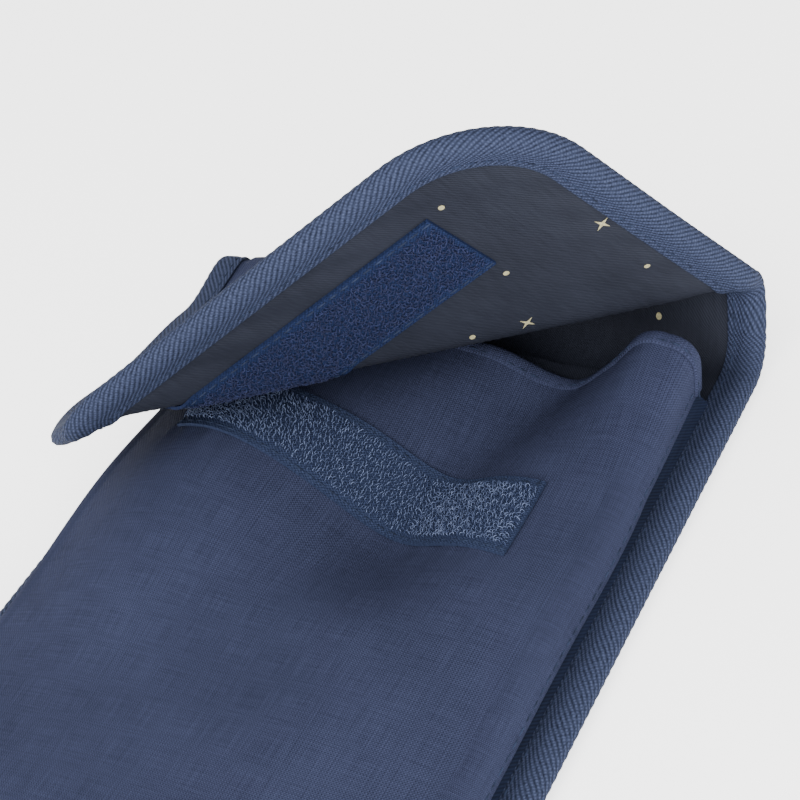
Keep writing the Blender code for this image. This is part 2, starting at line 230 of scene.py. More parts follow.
# finishes
def newFinish(name, roughness, sheen=0.0, gloss=0.04):
    finish = bpy.data.materials.new(name)
    finish.use_nodes = True
    shader = finish.node_tree.nodes["Principled BSDF"]
    shader.inputs["Roughness"].default_value = roughness
    shader.inputs["Specular IOR Level"].default_value = gloss
    shader.inputs["Sheen Weight"].default_value = sheen
    shader.inputs["Sheen Roughness"].default_value = 0.5
    return finish, finish.node_tree, shader


def clothCoordinates(tree):
    uv = addNode(tree, "ShaderNodeUVMap", uv_map="cloth").outputs["UV"]
    split = addNode(tree, "ShaderNodeSeparateXYZ", {"Vector": uv})
    return uv, split.outputs["X"], split.outputs["Y"]


def noiseOn(tree, uv, scale, detail=2.0, roughness=0.5):
    # scale is a vector, in features per metre
    spread = addNode(tree, "ShaderNodeMapping", {"Vector": uv, "Scale": scale})
    return addNode(tree, "ShaderNodeTexNoise", {"Vector": spread.outputs[0], "Scale": 1.0, "Detail": detail,
                                                "Roughness": roughness}).outputs["Fac"]


def grainNoise(tree, size, detail=2.0):
    # grains of this size through the material, not tied to the cloth's own directions
    place = addNode(tree, "ShaderNodeTexCoord").outputs["Object"]
    return noiseOn(tree, place, (1 / size,) * 3, detail)


def waves(tree, run, length):
    return maths(tree, "SINE", maths(tree, "MULTIPLY", run, 2 * math.pi / length))


def addColour(tree, shader, factor, dark, light, low, high):
    ramp = addNode(tree, "ShaderNodeValToRGB", {"Fac": factor})
    ramp.color_ramp.elements[0].position = low
    ramp.color_ramp.elements[0].color = linear(dark)
    ramp.color_ramp.elements[1].position = high
    ramp.color_ramp.elements[1].color = linear(light)
    tree.links.new(ramp.outputs["Color"], shader.inputs["Base Color"])


def addRelief(tree, shader, height, distance, strength=1.0):
    bump = addNode(tree, "ShaderNodeBump", {"Height": height, "Distance": distance, "Strength": strength})
    tree.links.new(bump.outputs["Normal"], shader.inputs["Normal"])


def makeOxford(name, dark, light, thread=0.3):
    # polyester oxford, plain weave: round threads crossing over and under, matt; part of the weave's light
    # and shade is painted into its colour
    finish, tree, shader = newFinish(name, 0.9)
    uv, across, along = clothCoordinates(tree)
    warp = waves(tree, across, 2 * thread * mm)
    weft = waves(tree, along, 2 * thread * mm)
    over = maths(tree, "MULTIPLY", warp, weft)
    slubWarp = noiseOn(tree, uv, (1 / (thread * mm), 1 / (9 * mm), 1))     # thread by thread, 9 mm long
    slubWeft = noiseOn(tree, uv, (1 / (9 * mm), 1 / (thread * mm), 1))
    slub = maths(tree, "ADD", slubWarp, slubWeft)
    cloud = noiseOn(tree, uv, (1 / (24 * mm), 1 / (24 * mm), 1), 3.0)
    # painted shade: the raised crossings and the warp threads' crests are painted lighter, the sunken
    # crossings and the gaps darker; the slubs and the cloud are the cloth's own tone
    level = maths(tree, "MULTIPLY_ADD", over, 0.2, maths(tree, "MULTIPLY_ADD", warp, 0.08, -0.22))
    level = maths(tree, "MULTIPLY_ADD", slub, 0.5, level)
    level = maths(tree, "MULTIPLY_ADD", cloud, 0.3, maths(tree, "ADD", level, 0.07))
    addColour(tree, shader, level, dark, light, 0.15, 0.95)
    addRelief(tree, shader, maths(tree, "MULTIPLY_ADD", slub, 0.5, over), 0.07 * mm, 0.8)
    return finish


def makeTwill(name, dark, light, rib=0.6):
    # polyester twill lining: fine slanting ribs, smoother and a little shiny
    finish, tree, shader = newFinish(name, 0.65, gloss=0.08)
    uv, across, along = clothCoordinates(tree)
    ribs = waves(tree, maths(tree, "MULTIPLY_ADD", along, 0.85, across), rib * mm)
    slub = noiseOn(tree, uv, (1 / (0.5 * mm), 1 / (7 * mm), 1))
    cloud = noiseOn(tree, uv, (1 / (18 * mm), 1 / (30 * mm), 1), 3.0)
    level = maths(tree, "MULTIPLY_ADD", ribs, 0.16, -0.05)
    level = maths(tree, "MULTIPLY_ADD", slub, 0.5, level)
    level = maths(tree, "MULTIPLY_ADD", cloud, 0.55, level)
    addColour(tree, shader, level, dark, light, 0.15, 0.85)
    addRelief(tree, shader, maths(tree, "MULTIPLY_ADD", slub, 0.6, ribs), 0.035 * mm, 0.7)
    return finish


def makeTape(name, dark, light, dash=1.55, slant=1.05, floatWidth=0.95):
    # woven binding tape: fine twill lines slanting across it, broken up into single thread floats that
    # lean the other way beside the edges
    finish, tree, shader = newFinish(name, 0.75)
    uv, across, along = clothCoordinates(tree)
    swing = waves(tree, across, 8.2 * mm)
    lean = maths(tree, "MULTIPLY_ADD", swing, 0.22, maths(tree, "DIVIDE", across, slant * mm))
    phase = maths(tree, "ADD", maths(tree, "DIVIDE", along, dash * mm), lean)
    lines = waves(tree, phase, 1)
    cut = maths(tree, "SUBTRACT", maths(tree, "DIVIDE", along, 0.8 * mm),
                maths(tree, "DIVIDE", across, floatWidth * mm))
    floats = waves(tree, cut, 1)
    height = maths(tree, "MULTIPLY", maths(tree, "MULTIPLY_ADD", lines, 0.5, 0.5),
                   maths(tree, "MULTIPLY_ADD", floats, 0.3, 0.7))
    fleck = noiseOn(tree, uv, (1 / (0.4 * mm), 1 / (0.9 * mm), 1), 3.0)
    level = maths(tree, "MULTIPLY_ADD", height, 0.6, maths(tree, "MULTIPLY_ADD", fleck, 0.8, -0.28))
    addColour(tree, shader, level, dark, light, 0.0, 0.95)
    addRelief(tree, shader, maths(tree, "MULTIPLY_ADD", fleck, 0.4, height), 0.16 * mm, 0.9)
    return finish


def makeSelvedge(name, dark, light):
    # flat woven tape that carries hooks or loops: fine ribs along it
    finish, tree, shader = newFinish(name, 0.75)
    uv, across, along = clothCoordinates(tree)
    over = maths(tree, "MULTIPLY", waves(tree, across, 0.7 * mm), waves(tree, along, 0.8 * mm))
    fleck = noiseOn(tree, uv, (1 / (0.5 * mm), 1 / (0.5 * mm), 1), 2.0)
    level = maths(tree, "MULTIPLY_ADD", over, 0.25, fleck)
    addColour(tree, shader, level, dark, light, 0.2, 0.9)
    addRelief(tree, shader, over, 0.07 * mm, 0.8)
    return finish


def makeFibre(name, dark, light, roughness, grain, sheen=0.0, gloss=0.15):
    # nylon filament or spun thread; its tone drifts from one fibre to the next
    finish, tree, shader = newFinish(name, roughness, sheen=sheen, gloss=gloss)
    addColour(tree, shader, grainNoise(tree, grain * mm, 1.0), dark, light, 0.3, 0.7)
    return finish


def makeFoam(name, colour):
    # thin polyester foam, open cells
    finish, tree, shader = newFinish(name, 0.9)
    cells = grainNoise(tree, 0.6 * mm)
    addColour(tree, shader, cells, colour, "#8A8A8C", 0.3, 0.9)
    addRelief(tree, shader, cells, 0.1 * mm, 0.5)
    return finish


def makeInk(name, colour):
    # gold pigment print on the lining
    finish, tree, shader = newFinish(name, 0.45)
    addColour(tree, shader, grainNoise(tree, 0.4 * mm), colour, "#A8A284", 0.35, 0.85)
    return finish


oxford = makeOxford("navy_oxford_weave", "#1D2030", "#393E56")
gussetCloth = makeTwill("navy_gusset_twill", "#0B101D", "#1A2238", 0.8)
lining = makeTwill("charcoal_twill_lining", "#15171F", "#272A34")
tape = makeTape("navy_herringbone_tape", "#171B28", "#434B65")
foam = makeFoam("grey_foam_interlining", "#4A4B50")
hookTape = makeSelvedge("hook_tape_weave", "#191F31", "#343D56")
loopTape = makeSelvedge("loop_tape_weave", "#0F1528", "#222C4B")
hookNylon = makeFibre("nylon_hook_filament", "#2B344F", "#626D8A", 0.4, 1.2)
loopPile = makeFibre("napped_loop_pile", "#11152D", "#242B4C", 0.8, 0.7, sheen=0.03)
thread = makeFibre("navy_sewing_thread", "#141A2A", "#262F45", 0.8, 1.5)
ink = makeInk("gold_pigment_print", "#8A8464")
print("finishes made")


# the sheet: back panel, fold and flap
sheet = {
    "width": 135 * mm,
    "backLength": 230 * mm,       # bottom edge to the start of the fold
    "flapLength": 112 * mm,       # start of the fold to the free edge
    "flapCorner": 27 * mm,
    "bottomCorner": 27 * mm,
    "rollLeft": 10.7 * mm,        # fold radius at either side
    "rollRight": 11.9 * mm,
    "flapRise": math.radians(15),
    # how far the flap sags, where that starts and over what length it grows, across and then along
    "leftSag": (7.7 * mm, (35 * mm, 35 * mm), (22 * mm, 25 * mm)),
    "cornerSag": (3.6 * mm, (44 * mm, 20 * mm), (45 * mm, 30 * mm)),
    "creaseRight": 21.5 * mm,     # slanting crease that the free corner curls up from
    "creaseLeft": 124.5 * mm,
    "creaseRadius": 3.2 * mm,
    "creaseEase": 5 * mm,         # the bend is this much rounder at the right edge
    "easeReach": 24 * mm,
    "peel": math.radians(61),
}
half = sheet["width"] / 2
foldY = sheet["backLength"] / 2
foldAngle = math.pi - sheet["flapRise"]
topV = sheet["flapLength"] - sheet["flapCorner"]
bottomV = -sheet["backLength"] + sheet["bottomCorner"]
creaseRun = np.array([-sheet["width"], sheet["creaseLeft"] - sheet["creaseRight"]])
creaseRun = creaseRun / np.linalg.norm(creaseRun)
creaseOut = np.array([creaseRun[1], -creaseRun[0]])


def sideShare(u):
    return (u + half) / sheet["width"]


def rollRadius(u):
    return sheet["rollLeft"] + (sheet["rollRight"] - sheet["rollLeft"]) * sideShare(u)


def creaseV(u):
    return sheet["creaseRight"] + (sheet["creaseLeft"] - sheet["creaseRight"]) * (half - u) / sheet["width"]


def onFold(u, v):
    # back, roll and closed flap: a cylinder between two planes
    radius = rollRadius(u)
    angle = np.clip(v / radius, 0, foldAngle)
    past = np.maximum(v - radius * foldAngle, 0)
    y = foldY + np.minimum(v, 0) + radius * np.sin(angle) + past * math.cos(foldAngle)
    z = radius * (1 - np.cos(angle)) + past * math.sin(foldAngle)
    return np.stack([u, y, z], -1)


def onFlap(u, v):
    # the flap's own plane, with the free corner turned up round the crease
    peel = sheet["peel"]
    du, dv = u - half, v - sheet["creaseRight"]
    along = du * creaseRun[0] + dv * creaseRun[1]
    across = du * creaseOut[0] + dv * creaseOut[1]
    eased = sheet["creaseEase"] * smooth(1 - along / sheet["easeReach"])
    bend = sheet["creaseRadius"] + eased
    start = -eased * math.tan(peel / 2)
    across = across - start
    turn = np.clip(across / bend, 0, peel)
    past = np.maximum(across - bend * peel, 0)
    flat = start + np.where(across > 0, bend * np.sin(turn) + past * math.cos(peel), across)
    lift = np.where(across > 0, bend * (1 - np.cos(turn)) + past * math.sin(peel), 0)
    x = half + along * creaseRun[0] + flat * creaseOut[0]
    w = sheet["creaseRight"] + along * creaseRun[1] + flat * creaseOut[1]
    radius = rollRadius(x)
    c, s = math.cos(foldAngle), math.sin(foldAngle)
    y = foldY + (radius + lift) * s + (w - radius * foldAngle) * c
    z = radius - (radius + lift) * c + (w - radius * foldAngle) * s
    return np.stack([x, y, z], -1)


def sag(name, u, v):
    depth, (outFrom, outOver), (upFrom, upOver) = sheet[name]
    return depth * smooth((-u - outFrom) / outOver) * smooth((v - upFrom) / upOver)


def midSheet(u, v):
    share = sideShare(u)
    low = 22 * mm - 8 * mm * share
    high = sheet["rollLeft"] * foldAngle * (1 - share) + 26 * mm * share
    weight = smooth((v - low) / (high - low))[..., None]
    place = onFold(u, v) * (1 - weight) + onFlap(u, v) * weight
    place[..., 2] -= sag("leftSag", u, v) + sag("cornerSag", u, v)
    return place


def offCloth(middle, step, u, v, h):
    # the place at u, v on a surface, moved by h along its normal
    u, v, h = np.broadcast_arrays(np.asarray(u, float), np.asarray(v, float), np.asarray(h, float))
    du = middle(u + step, v) - middle(u - step, v)
    dv = middle(u, v + step) - middle(u, v - step)
    normal = np.cross(du, dv)
    normal /= np.linalg.norm(normal, axis=-1, keepdims=True)
    return middle(u, v) + normal * h[..., None]


def onSheet(u, v, h):
    # a place in the sheet, h deep from its outer face towards the lining
    return offCloth(midSheet, 0.5 * mm, u, v, h)


def freeEdge(u, inset):
    radius = sheet["flapCorner"] - inset
    over = np.clip(np.abs(u) - (half - sheet["flapCorner"]), 0, radius)
    return topV + np.sqrt(radius ** 2 - over ** 2)


def bottomEdge(u, inset):
    radius = sheet["bottomCorner"] - inset
    over = np.clip(np.abs(u) - (half - sheet["bottomCorner"]), 0, radius)
    return bottomV - np.sqrt(radius ** 2 - over ** 2)


def rimDistance(u, v):
    over = np.maximum(np.abs(u) - (half - sheet["flapCorner"]), 0)
    top = sheet["flapCorner"] - np.hypot(over, np.maximum(v - topV, 0))
    low = sheet["bottomCorner"] - np.hypot(over, np.maximum(bottomV - v, 0))
    return np.minimum(half - np.abs(u), np.minimum(top, low))


seamV = 21 * mm          # back and flap meet here, past the middle of the fold


def follow(piece, span):
    # bakes a piece's placement into its mesh; for the flap it also works out the line along the crease and
    # its up direction, which nothing uses
    if span == "back":
        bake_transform(piece)
        return
    u = np.array([-40 * mm, 40 * mm])
    arc = sheet["creaseRadius"] * sheet["peel"] / creaseOut[1]
    feet = onFlap(u, creaseV(u) + arc)
    line = (feet[1] - feet[0]) / np.linalg.norm(feet[1] - feet[0])
    up = onFlap(u, creaseV(u) + arc + 10 * mm)[0] - feet[0]
    up = up - np.dot(up, line) * line
    up = up / np.linalg.norm(up)
    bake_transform(piece)


def columnsFor(inset, step=1.5 * mm):
    # columns shared by every span of a layer, closer in the round corners
    reach = half - inset
    corner = sheet["flapCorner"] - inset
    turn = np.linspace(0, math.pi / 2, 17)
    side = reach - corner + corner * np.sin(turn)
    middle = np.linspace(-(reach - corner), reach - corner, int(2 * (reach - corner) / step) + 1)
    return np.concatenate([-side[:0:-1], middle, side[1:]])


def layerGrid(span, inset):
    u = columnsFor(inset)
    if span == "back":
        low = bottomEdge(u, inset)
        flat = low + (-1 * mm - low) * np.linspace(0, 1, 90)[:, None] ** 1.1
        roll = np.broadcast_to(np.arange(0, seamV + 0.1 * mm, 0.75 * mm)[:, None], (29, len(u)))
        v = np.concatenate([flat, roll])
    else:
        v = seamV + (freeEdge(u, inset) - seamV) * (1 - (1 - np.linspace(0, 1, 96)[:, None]) ** 1.15)
    return np.broadcast_to(u, v.shape), v


layers = {        # depths of both faces from the outer face, inset from the edge, finish, CAD layer, slot
    "outer_cloth": (0.0 * mm, 0.6 * mm, 1.6 * mm, oxford, "outer_cloth", "outer_oxford"),
    "interlining": (0.85 * mm, 1.75 * mm, 15 * mm, foam, "interlining", "interlining_foam"),
    "lining": (2.1 * mm, 2.7 * mm, 1.6 * mm, lining, "lining", "lining_twill"),
}
bindingSize = {
    "width": 8 * mm,
    "thickness": 0.8 * mm,
    "scallop": 0.28 * mm,          # the tape's outer edge is drawn in at every stitch
    "scallopLength": 2.4 * mm,
    "station": 0.6 * mm,
}


def outerLift(u, v):
    # the outer cloth steps up where it runs into the binding
    return 0.95 * mm * smooth((bindingSize["width"] + 3.5 * mm - rimDistance(u, v)) / (3 * mm))


def liningPucker(u, v):
    # the lining is drawn in a little along the binding's stitches
    inside = rimDistance(u, v) - bindingSize["width"]
    near = np.exp(-(inside / (7 * mm)) ** 2)
    along = np.sin(v * 2 * math.pi / (13 * mm) + u * 2 * math.pi / (17 * mm))
    return 0.28 * mm * near * along * smooth(inside / (2 * mm))


for layer, (low, high, inset, finish, cadLayer, slotName) in layers.items():
    for span in ("back", "flap"):
        u, v = layerGrid(span, inset)
        shape = {"outer_cloth": outerLift, "lining": liningPucker}.get(layer, lambda u, v: 0 * u)(u, v)
        grid = shellPart(onSheet(u, v, low + shape), onSheet(u, v, high + shape), np.stack([u, v], -1))
        piece = addMesh(f"{span}_{layer}_detailed", *grid, finish)
        follow(piece, span)
        cadNodes = ["back"] if span == "back" else ["flap_base", "flap_tip"]
        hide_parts(*[f"{node}_{cadLayer}" for node in cadNodes])
print("sheet layers made")


# binding tape round the sheet's edge
def edgeRuns():
    # clockwise from the left end of the fold: kind, start or centre, heading or angle, length, radius
    c, b = sheet["flapCorner"], sheet["bottomCorner"]
    across = sheet["width"] - 2 * c
    quarter = math.pi / 2
    return (
        ("line", (-half, 0), (0, 1), topV, 0),
        ("arc", (-half + c, topV), math.pi, quarter * c, c),
        ("line", (-half + c, sheet["flapLength"]), (1, 0), across, 0),
        ("arc", (half - c, topV), quarter, quarter * c, c),
        ("line", (half, topV), (0, -1), topV - bottomV, 0),
        ("arc", (half - b, bottomV), 0, quarter * b, b),
        ("line", (half - b, -sheet["backLength"]), (-1, 0), across, 0),
        ("arc", (-half + b, bottomV), -quarter, quarter * b, b),
        ("line", (-half, bottomV), (0, 1), -bottomV, 0),
    )


sheetEdge = edgeRuns()
edgeLength = sum(run[3] for run in sheetEdge)
flapLengthRound = sum(run[3] for run in sheetEdge[:4])       # to the top of the right side
rightFoldS = flapLengthRound + topV                          # where the right side meets v = 0


def placeAlong(runs, s):
    # place and inward direction at the length s along clockwise runs
    for kind, start, way, length, radius in runs:
        if s <= length + 1e-9:
            break
        s -= length
    if kind == "line":
        return start[0] + way[0] * s, start[1] + way[1] * s, way[1], -way[0]
    angle = way - s / radius
    c, d = math.cos(angle), math.sin(angle)
    return start[0] + radius * c, start[1] + radius * d, -c, -d


def stations(fromS, toS, step):
    return np.linspace(fromS, toS, max(2, int(round((toS - fromS) / step)) + 1))


edgeSpans = {
    "back": [(0, seamV), (rightFoldS - seamV, edgeLength)],
    "flap": [(seamV, rightFoldS - seamV)],
}


def bindingSection(width):
    # (inset, depth) round the folded tape: outer leg, rounded edge, inner leg, then back inside
    t = bindingSize["thickness"]
    swell = 0.35 * mm
    outer = [(width, 0.75 * mm - 0.55 * t), (width - 0.5 * mm, 0.1 * mm), (width - 1.6 * mm, 0.25 * mm),
             (width - 2.8 * mm, 0.0), (0.55 * width, 0.0), (0.28 * width, 0.0), (1.6 * mm, 0.15 * mm)]
    edge = [(0.45 * mm, 0.9 * mm), (0.0, 2.0 * mm), (0.4 * mm, 3.1 * mm)]
    inner = [(1.6 * mm, 3.85 * mm), (0.28 * width, 3.75 * mm + swell), (0.55 * width, 3.75 * mm + swell),
             (width - 2.8 * mm, 3.75 * mm), (width - 1.6 * mm, 3.45 * mm), (width - 0.5 * mm, 3.5 * mm),
             (width, 3.2 * mm)]
    inside = [(width - 0.1 * mm, 2.78 * mm), (0.6 * width, 2.95 * mm), (0.25 * width, 3.0 * mm),
              (1.1 * mm, 2.6 * mm), (1.1 * mm, 1.3 * mm), (0.25 * width, 0.85 * mm),
              (0.6 * width, 0.85 * mm), (width - 0.1 * mm, 0.85 * mm)]
    return np.array(outer + edge + inner + inside)


def bindingPart(fromS, toS):
    period = edgeLength / round(edgeLength / bindingSize["scallopLength"])
    section = bindingSection(bindingSize["width"])
    girth = np.concatenate([[0], np.cumsum(np.hypot(*np.diff(section, axis=0).T))])
    rings, uvs = [], []
    for s in stations(fromS, toS, bindingSize["station"]):
        u, v, nu, nv = placeAlong(sheetEdge, s)
        inset, depth = section.T
        draw = bindingSize["scallop"] * abs(math.sin(math.pi * s / period)) ** 0.7
        inset = inset + (bindingSize["scallop"] - draw) * np.clip(1 - inset / (3 * mm), 0, 1)
        rings.append(onSheet(u + inset * nu, v + inset * nv, depth))
        uvs.append(np.stack([girth, np.full(len(girth), s)], -1))
    return tubePart(np.array(rings), np.array(uvs))


bindingNodes = {
    "back": ("body_binding_left", "body_binding_right", "body_binding_bottom"),
    "flap": ("flap_base_binding_left", "flap_base_binding_right",
             "flap_tip_binding_side", "flap_tip_binding_edge"),
}
for span, pieces in edgeSpans.items():
    grid = joinParts([bindingPart(a, b) for a, b in pieces])
    piece = addMesh(f"{span}_binding_detailed", *grid, tape, sharp=60)
    follow(piece, span)
    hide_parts(*bindingNodes[span])
print("binding made")


# the front pocket
pocket = {
    "right": 60 * mm,             # outer edge on either side
    "left": 57.5 * mm,
    "bottom": -105 * mm,
    "corner": 20 * mm,
    "mouth": 106.5 * mm,
    "round": 4.5 * mm,            # radius of the rolled side edges
    "seamZ": 7.4 * mm,            # height of the seam with the gusset
    "cloth": 0.7 * mm,
    "hem": 3.4 * mm,
}
skirt = pocket["round"] * math.pi / 2 + 6 * mm      # nominal cloth past the ridge
mounds = (              # how high the contents push the front, where and how far round, in mm
    (11.5, (-27, 52), (25, 36)),
    (3, (5, -40), (40, 60)),
    (9.6, (54, 108), (10, 24)),
    (1.6, (36, 20), (26, 34)),
)


def mound(x, y, at, spread):
    across = (x - at[0] * mm) / (spread[0] * mm)
    along = (y - at[1] * mm) / (spread[1] * mm)
    return np.exp(-across ** 2 - along ** 2)


def valley(x, y):
    # a soft groove from the dip in the mouth down to the hook strip
    run = np.clip((108 * mm - y) / (58 * mm), 0, 1)
    middle = 31 * mm - 16 * mm * np.sin(run * math.pi / 2)
    fade = 1 - smooth((56 * mm - y) / (34 * mm))
    wide = 12 * mm + 4 * mm * run
    return np.exp(-((x - middle) / wide) ** 2) * fade


def pocketTop(x, y):
    # height of the front cloth's underside
    side = np.clip(np.abs(x) / (62 * mm), 0, 1)
    lowEnd = np.clip((y - pocket["bottom"]) / (32 * mm), 0, 1)
    dome = (1 - side ** 4) * (1 - (1 - lowEnd) ** 3)
    z = 9.2 * mm + 4.6 * mm * dome
    for height, at, spread in mounds:
        z = z + height * mm * mound(x, y, at, spread)
    z = z - 8.4 * mm * valley(x, y)
    # slack in the cloth: long shallow waves, stronger towards the sides
    z = z + 0.5 * mm * np.sin(x / (15 * mm) + y / (31 * mm) + 0.6) * (0.3 + side ** 2)
    z = z + 0.35 * mm * np.sin(y / (9 * mm) - x / (26 * mm)) * side ** 3
    return z


def ridge(x, y):
    # nearest place on the ridge outline, the way out from it, and how far past it a place lies
    right, left = pocket["right"] - pocket["round"], pocket["left"] - pocket["round"]
    low = pocket["bottom"] + pocket["round"]
    r = pocket["corner"] - pocket["round"]
    cx = np.clip(x, -left + r, right - r)
    cy = np.maximum(y, low + r)
    dx, dy = x - cx, y - cy
    far = np.hypot(dx, dy)
    safe = np.maximum(far, 1e-9)
    past = np.maximum(far - r, 0)
    inner = np.minimum(far, r)
    return cx + dx / safe * inner, cy + dy / safe * inner, dx / safe, dy / safe, past


def midFront(x, y):
    nx, ny, ox, oy, past = ridge(x, y)
    top = pocketTop(nx, ny)
    radius = pocket["round"]
    drop = np.maximum(top - radius - pocket["seamZ"], 0.5 * mm)
    length = past / skirt * (radius * math.pi / 2 + drop)
    turn = np.clip(length / radius, 0, math.pi / 2)
    down = np.maximum(length - radius * math.pi / 2, 0)
    out = radius * np.sin(turn) - 0.12 * down
    return np.stack([nx + ox * out, ny + oy * out, top - radius * (1 - np.cos(turn)) - down], -1)


def onFront(x, y, h):
    # a place on the front cloth, h above its underside
    return offCloth(midFront, 0.4 * mm, x, y, h)


def frontGrid(inset, mouthY, step):
    # developed cloth: straight sides, round lower corners, open mouth
    right = pocket["right"] - pocket["round"] + skirt - inset
    left = pocket["left"] - pocket["round"] + skirt - inset
    low = pocket["bottom"] + pocket["round"] - skirt + inset
    r = pocket["corner"] - pocket["round"] + skirt - inset
    turn = np.sin(np.linspace(0, math.pi / 2, 26))
    middle = np.linspace(-left + r, right - r, int((right + left - 2 * r) / step))
    x = np.concatenate([-left + r - r * turn[:0:-1], middle, right - r + r * turn[1:]])
    over = np.maximum(np.maximum(x - (right - r), -left + r - x), 0)
    bottom = low + r - np.sqrt(np.maximum(r ** 2 - over ** 2, 0))
    y = bottom + (mouthY - bottom) * np.linspace(0, 1, int((mouthY - low) / step))[:, None]
    return np.broadcast_to(x, y.shape), y


hook = {
    "right": 43 * mm,
    "length": 80 * mm,
    "width": 20 * mm,
    "lowY": 49 * mm,              # lower edge at the right end
    "skew": 12 * mm,
    "selvedge": 2.2 * mm,
    "tape": 0.7 * mm,
}


def hookEdge(x):
    return hook["lowY"] + hook["skew"] * (hook["right"] - x) / hook["length"]


def pucker(x, y):
    # the cloth is drawn in a little along the hook strip's and the hem's stitches
    beside = np.abs(x - 3 * mm) < 44 * mm
    near = np.exp(-((y - hookEdge(x) + 1 * mm) / (4.5 * mm)) ** 2) * beside
    hem = np.exp(-((y - pocket["mouth"] + 4 * mm) / (3.5 * mm)) ** 2)
    return 0.22 * mm * near * np.sin(x * 2 * math.pi / (7 * mm)) + 0.16 * mm * hem * np.sin(x / (1.9 * mm))


def onBody(piece, node):
    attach(piece, "root")
    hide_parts(node)


x, y = frontGrid(0, pocket["mouth"], 1.25 * mm)
drawn = pucker(x, y)
grid = shellPart(onFront(x, y, drawn), onFront(x, y, pocket["cloth"] + drawn), np.stack([x, y], -1))
frontCloth = addMesh("front_pocket_cloth_detailed", *grid, oxford)
onBody(frontCloth, "front_pocket_cloth")

x, y = frontGrid(2.5 * mm, pocket["mouth"] - 0.4 * mm, 2 * mm)
grid = shellPart(onFront(x, y, -0.9 * mm), onFront(x, y, -0.45 * mm), np.stack([x, y], -1))
frontLining = addMesh("front_pocket_lining_detailed", *grid, lining)
onBody(frontLining, "front_pocket_lining")
print("front pocket made")


# the divider that shows in the mouth
def dividerHeight(x, y):
    z = 3.6 * mm + 0.36 * np.maximum(pocketTop(x, np.minimum(y, pocket["mouth"])) - 7 * mm, 0)
    return z + 0.25 * mm * np.sin(x / (7 * mm) + y / (19 * mm))


u = np.linspace(-53 * mm, 53 * mm, 90)
v = np.linspace(-98 * mm, 111.5 * mm, 120)[:, None] + 0 * u
u = np.broadcast_to(u, v.shape)
v = v + smooth((v + 90 * mm) / (190 * mm)) * 1.2 * mm * np.sin(u / (17 * mm))
z = dividerHeight(u, v)
flatPlace = np.stack([u, v, z], -1)
grid = shellPart(flatPlace, flatPlace + np.array([0, 0, 0.5 * mm]), np.stack([u, v], -1))
divider = addMesh("inner_divider_detailed", *grid, lining)
onBody(divider, "inner_divider")


# the gusset strips that stand between back and front
gusset = {
    "inset": 0.5 * mm,
    "thickness": 0.6 * mm,
    "tuck": 1.3 * mm,             # how far the strip folds in between its two seams
    "spread": 1.1 * mm,           # the back seam stands this far outside the front one
    "top": 8.3 * mm,
    "foot": 3.3 * mm,
}
straightSide = pocket["mouth"] - pocket["bottom"] - pocket["corner"]
bendLength = (pocket["corner"] - gusset["inset"]) * math.pi / 2
bottomRun = pocket["right"] + pocket["left"] - 2 * pocket["corner"] + 2 * bendLength
seamLength = 2 * straightSide + bottomRun


def seamRuns():
    # clockwise from the mouth's right end, as the sheet's edge
    right, left = pocket["right"] - gusset["inset"], pocket["left"] - gusset["inset"]
    low = pocket["bottom"] + gusset["inset"]
    r = pocket["corner"] - gusset["inset"]
    return (
        ("line", (right, low + r + straightSide), (0, -1), straightSide, 0),
        ("arc", (right - r, low + r), 0, bendLength, r),
        ("line", (right - r, low), (-1, 0), bottomRun - 2 * bendLength, 0),
        ("arc", (-left + r, low + r), -math.pi / 2, bendLength, r),
        ("line", (-left, low + r), (0, 1), straightSide, 0),
    )


seam = seamRuns()


def gussetPart(fromS, toS):
    # the lengths here run from the mouth's left end, against the seam's own direction
    rings, uvs, t = [], [], gusset["thickness"]
    heights = np.linspace(0, 1, 7)
    girth = np.concatenate([np.linspace(0, 6 * mm, 7), np.linspace(6 * mm, 0, 7)])
    for s in stations(fromS, toS, 1.2 * mm):
        px, py, nx, ny = placeAlong(seam, seamLength - s)
        ring = []
        tuck = gusset["tuck"] * np.sin(heights * math.pi) * (1 + 0.12 * math.sin(s / (11 * mm)))
        lift = gusset["foot"] + (gusset["top"] - gusset["foot"]) * heights
        for side, order in ((0, range(7)), (1, range(6, -1, -1))):
            for k in order:
                out = gusset["spread"] * (1 - heights[k]) - tuck[k] - side * t
                ring.append((px - nx * out, py - ny * out, lift[k]))
        rings.append(ring)
        uvs.append(np.stack([girth, np.full(len(girth), s)], -1))
    return tubePart(np.array(rings), np.array(uvs), flip=True)


gussetSpans = {
    "left_gusset": (0, straightSide - 0.3 * mm),
    "bottom_gusset": (straightSide, straightSide + bottomRun),
    "right_gusset": (straightSide + bottomRun + 0.3 * mm, seamLength),
}
for name, (fromS, toS) in gussetSpans.items():
    piece = addMesh(f"{name}_detailed", *gussetPart(fromS, toS), gussetCloth, sharp=60)
    onBody(piece, name)


# hem: the front cloth's edge turned over its mouth
def hemRing(x):
    # the folded band's outline across the edge, and its place on the cloth
    top, low, reach = pocket["cloth"] + 0.05 * mm, -1.0 * mm, pocket["hem"]
    t = 0.45 * mm
    edge = pocket["mouth"]
    outline = [(edge - reach, top), (edge - reach + 0.3 * mm, top + t),
               (edge - reach / 2, top + t * 1.15), (edge - 0.5 * mm, top + t * 1.1),
               (edge + 0.45 * mm, top * 0.6), (edge + 0.55 * mm, -0.2 * mm),
               (edge + 0.3 * mm, low - 0.4 * mm), (edge - 0.6 * mm, low - t), (edge - reach, low - t),
               (edge - reach, low), (edge - 0.8 * mm, low), (edge - 0.1 * mm, low * 0.5),
               (edge - 0.1 * mm, top * 0.5), (edge - 0.8 * mm, top)]
    drawn = float(pucker(np.float64(x), np.float64(edge - 3 * mm)))
    ring = []
    for v, h in outline:
        place = onFront(x, min(v, edge), h + drawn)
        ring.append(place + np.array([0, max(v - edge, 0), 0]))
    return ring, np.array([[x, v] for v, h in outline])


